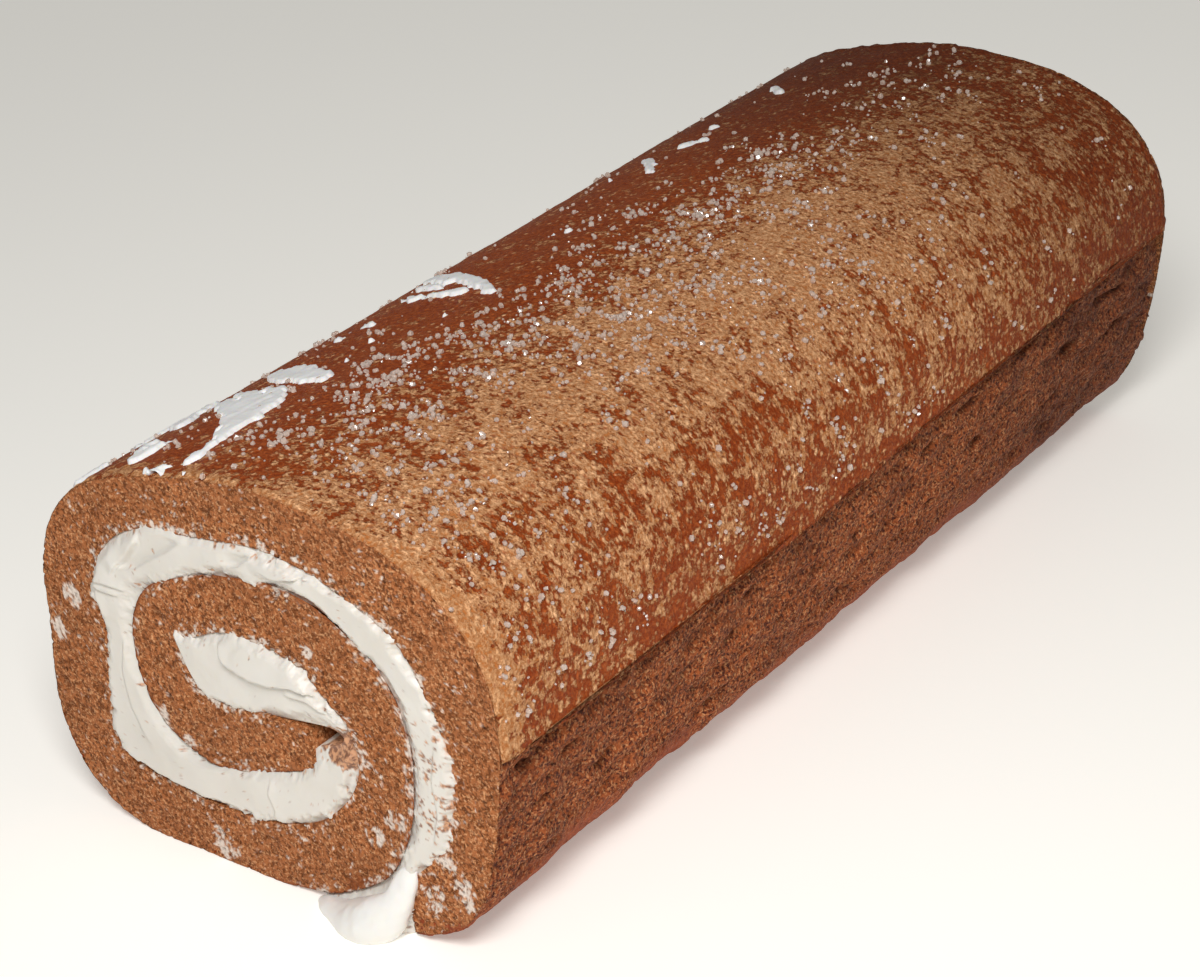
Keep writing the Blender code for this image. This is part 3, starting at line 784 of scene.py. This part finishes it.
dirt = 0.2 * smoothstep(1.2 * MM, 0.2 * MM, to_edge) + 1.2 * smoothstep(1.0, 0.4, past_pinch)
on_right = smoothstep(25.0 * MM, 31.0 * MM, flat[..., 0]) * smoothstep(14.0 * MM, 22.0 * MM, flat[..., 2])
dirt = dirt + 0.38 * on_right * smoothstep(46.0 * MM, 38.0 * MM, flat[..., 2])
dirt = smoothstep(0.5, 0.75, dirt + 0.9 * rough(flat, 0.8 * MM, 3, 127))
paint(cream, "crumbs", 0.92 * dirt)


def cream_material(name, shaded, lit):
    """Whipped cream: warm white, soft, with a light sheen."""
    material, tree, shader, place = new_material(name)
    cloud = add(tree, "TexNoise", {"Vector": place, "Scale": 120.0, "Detail": 3.0})
    white = add(tree, "Mix", {0: cloud, 6: linear(shaded), 7: linear(lit)})
    crumbs_read = add(tree, "Attribute", attribute_name="crumbs").outputs["Fac"]
    speck = add(tree, "TexNoise", {"Vector": place, "Scale": 1500.0, "Detail": 3.0})
    speck_share = add(tree, "MapRange", {0: speck, 1: 0.42, 2: 0.58})
    brown = add(tree, "Mix", {0: speck_share, 6: linear("#7A4218"), 7: linear("#CF9468")})
    soiled = add(tree, "Mix", {0: crumbs_read, 6: white, 7: brown})
    tree.links.new(soiled.outputs[2], shader.inputs["Base Color"])
    shader.inputs["Roughness"].default_value = 0.42
    shader.inputs["Subsurface Weight"].default_value = 0.25
    shader.inputs["Subsurface Radius"].default_value = (0.002, 0.0015, 0.001)
    fine = add(tree, "TexNoise", {"Vector": place, "Scale": 900.0, "Detail": 2.0})
    bump = add(tree, "Bump", {"Height": fine, "Strength": 0.15, "Distance": 0.2 * MM})
    tree.links.new(bump.outputs[0], shader.inputs["Normal"])
    return material


cream.data.materials.append(cream_material("whipped_cream", "#D7D1C7", "#E6E2DB"))
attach(cream, "root")
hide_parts("cream_filling")


# ----------------------------------
# Dollop: cream squeezed out of the seam that ran down over the cut edge and
# settled on the table in front of the roll, in one piece with the filling.
# ----------------------------------
# centre x, y, z and half sizes across and front to back, mm
DOLLOP_PATH = (
    (27.0, -94.9, 13.6, 0.5, 0.5), (26.0, -95.2, 11.6, 1.6, 1.0), (24.6, -95.7, 8.8, 2.1, 1.4),
    (23.3, -96.3, 6.2, 2.6, 2.2), (21.5, -97.0, 3.9, 3.5, 3.2), (19.0, -97.4, 2.0, 3.7, 3.9),
    (15.8, -97.2, 0.8, 3.1, 3.7), (12.3, -96.5, 0.4, 2.1, 2.9), (9.0, -95.8, 0.3, 1.3, 2.0),
    (6.8, -95.2, 0.2, 0.4, 0.7),
)
DOLLOP_AROUND = 72
DOLLOP_STATIONS = 150

path = np.array(DOLLOP_PATH) * MM
even = np.linspace(0.0, 1.0, DOLLOP_STATIONS) * (len(path) - 1)
spine = np.stack([smooth_table(even, 1.0, path[:, k]) for k in range(5)], axis=-1)
way = np.gradient(spine[:, [0, 2]], axis=0)
way = way / np.linalg.norm(way, axis=1)[:, None]
turn = np.linspace(0.0, 2.0 * np.pi, DOLLOP_AROUND, endpoint=False)
dollop_rings = np.empty((DOLLOP_STATIONS, DOLLOP_AROUND, 3))
dollop_rings[..., 0] = spine[:, None, 0] - way[:, None, 1] * spine[:, None, 3] * np.cos(turn)
dollop_rings[..., 1] = spine[:, None, 1] + spine[:, None, 4] * np.sin(turn)
dollop_rings[..., 2] = spine[:, None, 2] + way[:, None, 0] * spine[:, None, 3] * np.cos(turn)
lumps = 0.4 * MM * rough(dollop_rings, 4.5 * MM, 3, 131)
centre = spine[:, None, :3]
outward = dollop_rings - centre
outward = outward / np.linalg.norm(outward, axis=-1, keepdims=True)
dollop_rings = dollop_rings + outward * lumps[..., None]
dollop_rings[..., 2] = np.maximum(dollop_rings[..., 2], 0.0)
dollop = piece_from_rings("cream_dollop", dollop_rings, flip=True)
# painted light: the dollop gets a lighter copy of the filling's cream, so it reads brighter
dollop_cream_painted_light = cream_material("dollop_cream_painted_light", "#E6E4DF", "#F6F5F2")
dollop.data.materials.append(dollop_cream_painted_light)
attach(dollop, "root")


# ----------------------------------
# Smears: dabs of cream stuck to the crust near the cut face and a few along
# the crown, dragged thin, standing a few tenths of a millimetre proud.
# ----------------------------------
# each smear is a line of dabs: run, y and reach, mm
NEAR_SMEARS = (
    ((106.3, -90.5, 0.7), (106.7, -87.0, 1.0), (107.3, -83.5, 1.2), (108.8, -79.5, 1.9),
     (110.2, -75.5, 2.8), (111.2, -71.5, 3.3), (113.6, -68.4, 2.6), (117.0, -66.4, 1.7),
     (119.4, -65.6, 1.0)),
    ((109.0, -75.0, 2.0), (112.5, -73.5, 2.6), (116.5, -71.0, 2.3), (119.0, -69.4, 1.6)),
    ((110.4, -70.0, 2.2), (111.4, -66.4, 2.2), (114.0, -64.6, 1.6)),
    ((109.3, -58.8, 1.8), (112.5, -58.0, 2.6), (116.0, -57.4, 2.7), (119.0, -57.4, 2.0)),
    ((122.5, -72.5, 1.5), (121.3, -76.5, 1.2), (124.0, -68.0, 1.3)),
    ((115.6, -84.8, 0.5), (117.0, -87.5, 0.8), (117.6, -90.2, 0.7)),
    ((119.5, -83.8, 0.5), (118.7, -87.6, 0.7)),
    ((109.3, -92.4, 0.5), (109.6, -94.0, 0.8), (111.2, -94.2, 0.7), (112.0, -93.6, 0.4)),
    ((104.0, -94.0, 0.5),),
    ((124.8, -89.2, 0.7), (127.0, -92.5, 0.8)),
    ((128.0, -66.0, 0.8), (127.5, -74.0, 1.1), (127.0, -80.0, 0.7)),
    ((131.5, -70.0, 0.9), (131.0, -80.0, 1.2), (130.0, -86.0, 0.7)),
)
CROWN_SMEARS = (
    ((120.0, -18.2, 1.6), (116.0, -18.6, 1.5), (112.5, -19.6, 1.5), (109.5, -21.0, 1.2),
     (106.0, -23.0, 1.0), (103.5, -24.4, 0.7)),
    ((118.5, -26.8, 0.9), (113.5, -26.2, 0.9), (109.0, -24.8, 0.7)),
    ((119.5, -22.5, 0.7), (114.5, -23.0, 0.6)),
    ((117.5, -37.0, 0.7),), ((113.5, -39.5, 0.6),), ((108.5, -45.0, 0.7),), ((112.0, -44.0, 0.5),),
    ((110.0, -52.0, 0.5),), ((105.0, -34.0, 0.5),), ((119.0, -43.0, 0.8),), ((117.0, -11.0, 0.5),),
    ((110.0, 0.5, 0.5),), ((108.0, 1.8, 0.4),),
)
FAR_SMEARS = (
    ((111.5, 31.0, 0.9), (114.0, 34.0, 1.0), (116.5, 37.0, 0.9)),
    ((114.0, 45.0, 0.9), (112.5, 48.0, 0.8)), ((115.0, 55.0, 0.5),), ((98.0, 50.5, 0.6),),
    ((112.0, 73.0, 0.7), (115.5, 76.0, 0.6)), ((118.0, 28.0, 0.5),),
)


SMEAR_STEP = 0.28
# painted light: the smears get a still lighter copy of the cream, whiter than the filling and the dollop
smear_cream_painted_light = cream_material("smear_cream_painted_light", "#F0EEEB", "#FFFFFF")


def smear_piece(name, smears, run_span, y_span):
    """A thin sheet of cream that lifts out of the crust under the dabs."""
    run_line = np.arange(run_span[0], run_span[1], SMEAR_STEP) * MM
    y_line = np.arange(y_span[0], y_span[1], SMEAR_STEP) * MM
    ring_y = np.concatenate([y_line, y_line[::-12]])
    is_top = np.arange(len(ring_y)) < len(y_line)
    run_grid, y_grid = np.meshgrid(run_line, ring_y, indexing="ij")
    point, out = crust_top(run_grid, y_grid)
    reach = np.full(run_grid.shape, -1.0)
    for dabs in smears:
        dabs = np.array(dabs + (dabs[-1],)) * MM
        for start, stop in zip(dabs[:-1], dabs[1:]):
            way = stop[:2] - start[:2]
            length = max(way @ way, 0.01 * MM * MM)
            share = ((run_grid - start[0]) * way[0] + (y_grid - start[1]) * way[1]) / length
            share = np.clip(share, 0.0, 1.0)
            here = start + share[..., None] * (stop - start)
            away = np.hypot(run_grid - here[..., 0], y_grid - here[..., 1])
            reach = np.maximum(reach, (1.15 * here[..., 2] - away) / MM)
    dragged = point * np.array([1.0, 0.5, 1.0])
    reach = reach + 1.35 * rough(dragged, 1.7 * MM, 5, 141)
    height = -0.35 + 0.95 * smoothstep(-0.25, 0.65, reach) + 0.12 * rough(dragged, 1.1 * MM, 3, 145)
    height = np.where(reach < -0.25, -0.35, height)
    height = np.where(is_top, height, -0.6)
    piece = piece_from_rings(name, point + out * (height * MM)[..., None])
    piece.data.materials.append(smear_cream_painted_light)
    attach(piece, "root")
    return piece


smear_piece("cream_smears_near", NEAR_SMEARS, (101.0, 134.0), (-94.6, -52.0))
smear_piece("cream_smears_crown", CROWN_SMEARS, (101.0, 124.0), (-54.0, 4.0))
smear_piece("cream_smears_far", FAR_SMEARS, (96.0, 120.0), (26.0, 79.0))


# ----------------------------------
# Sugar: coarse crystals of 0.3 to 1.3 mm, strewn over the crust in
# loose clusters, each a small block with its corners cut.
# ----------------------------------
SUGAR_CLUSTERS = 1800
SUGAR_SIZE = (0.15 * MM, 0.48 * MM)
SUGAR_SPREAD = 1.3 * MM
SUGAR_TRIES = 40000
SUGAR_FIRST_RUN = 42.0 * MM
SUGAR_RUNS = 150.0 * MM
CORNER_REACH = 0.82

chance = np.random.default_rng(20)
wanted = chance.uniform(0.0, 1.0, (SUGAR_TRIES, 3))
place_run = SUGAR_FIRST_RUN + wanted[:, 0] * SUGAR_RUNS
place_y = NEAR_Y + 2.0 * MM + wanted[:, 1] * (FAR_Y - NEAR_Y - 4.0 * MM)
far_left = smoothstep(-10.0 * MM, 60.0 * MM, place_y) * smoothstep(85.0 * MM, 100.0 * MM, place_run)
flat_place = np.stack([place_run, place_y, 0.0 * place_y], axis=-1)
density = 0.30 + 0.70 * smoothstep(50.0 * MM, 84.0 * MM, place_run)
density = density * smoothstep(190.0 * MM, 150.0 * MM, place_run)
past_crown = smoothstep(93.0 * MM, 108.0 * MM, place_run)
density = density * (1.0 - 0.84 * past_crown) * (1.0 - 0.5 * far_left)
density = density * smoothstep(-0.65, 0.5, rough(flat_place, 16.0 * MM, 3, 151))
far_away = smoothstep(0.0, 80.0 * MM, place_y) * smoothstep(110.0 * MM, 85.0 * MM, place_run)
density = density * (1.0 - 0.6 * far_away)
kept = np.flatnonzero(wanted[:, 2] < density)[:SUGAR_CLUSTERS]
members = 1 + (chance.uniform(0.0, 1.0, len(kept)) ** 3.0 * 5.5).astype(int)
owner = np.repeat(kept, members)
spread = chance.normal(0.0, SUGAR_SPREAD * 0.55, (len(owner), 2))
sugar_run = place_run[owner] + spread[:, 0]
sugar_y = np.clip(place_y[owner] + spread[:, 1], NEAR_Y + 0.5 * MM, FAR_Y - 0.5 * MM)
seat, out = crust_top(sugar_run, sugar_y)
size = SUGAR_SIZE[0] + (SUGAR_SIZE[1] - SUGAR_SIZE[0]) * chance.uniform(0.0, 1.0, len(owner)) ** 1.7
seat = seat + out * (size * 0.55)[:, None]
corners = np.array([
    (1, 1, 0), (1, -1, 0), (-1, 1, 0), (-1, -1, 0), (1, 0, 1), (1, 0, -1),
    (-1, 0, 1), (-1, 0, -1), (0, 1, 1), (0, 1, -1), (0, -1, 1), (0, -1, -1),
]) * CORNER_REACH
faces = []
for axis in range(3):
    for side in (1, -1):
        face = [k for k in range(12) if corners[k][axis] * side > 0]
        middle_of = corners[face].mean(axis=0)
        other = [a for a in range(3) if a != axis]
        angle = np.arctan2(corners[face][:, other[1]], corners[face][:, other[0]])
        face = [face[k] for k in np.argsort(angle)]
        normal = np.cross(corners[face[1]] - corners[face[0]], corners[face[2]] - corners[face[1]])
        faces.append(face if normal @ middle_of > 0 else face[::-1])
for sx in (1, -1):
    for sy in (1, -1):
        for sz in (1, -1):
            way = np.array([sx, sy, sz])
            face = [k for k in range(12) if corners[k] @ way > 1.2]
            normal = np.cross(corners[face[1]] - corners[face[0]], corners[face[2]] - corners[face[1]])
            faces.append(face if normal @ way > 0 else face[::-1])
quaternion = chance.normal(0.0, 1.0, (len(owner), 4))
quaternion = quaternion / np.linalg.norm(quaternion, axis=1)[:, None]
w, x, y, z = quaternion.T
turned = np.stack([
    np.stack([1 - 2 * (y * y + z * z), 2 * (x * y - w * z), 2 * (x * z + w * y)], axis=-1),
    np.stack([2 * (x * y + w * z), 1 - 2 * (x * x + z * z), 2 * (y * z - w * x)], axis=-1),
    np.stack([2 * (x * z - w * y), 2 * (y * z + w * x), 1 - 2 * (x * x + y * y)], axis=-1),
], axis=1)
stretched = corners[None] * (size[:, None] * chance.uniform(0.72, 1.25, (len(owner), 3)))[:, None]
stretched = stretched * (1.0 + chance.normal(0.0, 0.06, stretched.shape))
crystals = np.einsum("nij,nkj->nki", turned, stretched) + seat[:, None]
all_faces = []
for face in faces:
    all_faces += (np.array(face)[None] + 12 * np.arange(len(owner))[:, None]).tolist()
sugar_mesh = bpy.data.meshes.new("sugar")
sugar_mesh.from_pydata(crystals.reshape(-1, 3), [], all_faces)
sugar = bpy.data.objects.new("sugar", sugar_mesh)
bpy.context.scene.collection.objects.link(sugar)


def sugar_material():
    """Sugar crystals: clear to milky white, glinting."""
    material, tree, shader, place = new_material("sugar_crystals")
    milk = add(tree, "TexNoise", {"Vector": place, "Scale": 500.0, "Detail": 1.0})
    tint = add(tree, "Mix", {0: milk, 6: linear("#EAC8B0"), 7: linear("#FFF6EE")})
    tree.links.new(tint.outputs[2], shader.inputs["Base Color"])
    shader.inputs["Roughness"].default_value = 0.12
    shader.inputs["IOR"].default_value = 1.54
    shader.inputs["Transmission Weight"].default_value = 0.5
    return material


sugar.data.materials.append(sugar_material())
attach(sugar, "root")


# ----------------------------------
# Stage: a pale table, a soft light over the cut face and a camera that sees
# the cut face and the right flank from a little above.
# ----------------------------------
floor_mesh = bpy.data.meshes.new("floor")
FLOOR = 2.0
floor_corners = [(-FLOOR, -FLOOR, 0), (FLOOR, -FLOOR, 0), (FLOOR, FLOOR, 0), (-FLOOR, FLOOR, 0)]
floor_mesh.from_pydata(floor_corners, [], [(0, 1, 2, 3)])
floor = bpy.data.objects.new("floor", floor_mesh)
bpy.context.scene.collection.objects.link(floor)
floor_material, tree, shader, place = new_material("pale_table")
shader.inputs["Base Color"].default_value = linear("#F4F2EC")
shader.inputs["Roughness"].default_value = 0.9
shader.inputs["Emission Color"].default_value = linear("#F4F2EC")
shader.inputs["Emission Strength"].default_value = 0.32
floor.data.materials.append(floor_material)

world = bpy.data.worlds.new("soft_room")
bpy.context.scene.world = world
world.use_nodes = True
world.node_tree.nodes["Background"].inputs["Color"].default_value = linear("#FFFDF8")
world.node_tree.nodes["Background"].inputs["Strength"].default_value = 0.2
bpy.context.scene.view_settings.view_transform = "Standard"


def facing(right, up, back, place):
    """Matrix that turns local X, Y and Z to right, up and back, at place."""
    rows = [(right[k], up[k], back[k], place[k]) for k in range(3)]
    return Matrix(rows + [(0.0, 0.0, 0.0, 1.0)])


def soft_light(name, place, target, size, power):
    """A square soft light at place, facing target."""
    lamp = bpy.data.lights.new(name, "AREA")
    lamp.size = size
    lamp.energy = power
    holder = bpy.data.objects.new(name, lamp)
    away = np.array(place) - np.array(target)
    away = away / np.linalg.norm(away)
    right = np.cross([0.0, 0.0, 1.0], away)
    right = right / np.linalg.norm(right)
    up = np.cross(away, right)
    holder.matrix_world = facing(right, up, away, place)
    bpy.context.scene.collection.objects.link(holder)


KEY_PLACE = (0.22, -0.31, 0.40)
KEY_TARGET = (0.0, -0.05, 0.03)
KEY_SIZE = 0.16
KEY_WATTS = 2.05
soft_light("key", KEY_PLACE, KEY_TARGET, KEY_SIZE, KEY_WATTS)

CAMERA_PLACE = (0.26358, -0.33184, 0.24879)
CAMERA_AZIMUTH = 39.469
CAMERA_ELEVATION = 27.958
CAMERA_ROLL = -5.629
CAMERA_LENS_MM = 84.0
azimuth, elevation, roll = np.radians([CAMERA_AZIMUTH, CAMERA_ELEVATION, CAMERA_ROLL])
back = np.array([
    np.sin(azimuth) * np.cos(elevation), -np.cos(azimuth) * np.cos(elevation), np.sin(elevation),
])
level = np.array([np.cos(azimuth), np.sin(azimuth), 0.0])
upright = np.cross(back, level)
right = np.cos(roll) * level + np.sin(roll) * upright
up = np.cross(back, right)
lens = bpy.data.cameras.new("camera")
lens.sensor_width = 36.0
lens.lens = CAMERA_LENS_MM
lens.clip_start = 0.01
camera = bpy.data.objects.new("camera", lens)
camera.matrix_world = facing(right, up, back, CAMERA_PLACE)
bpy.context.scene.collection.objects.link(camera)
bpy.context.scene.camera = camera
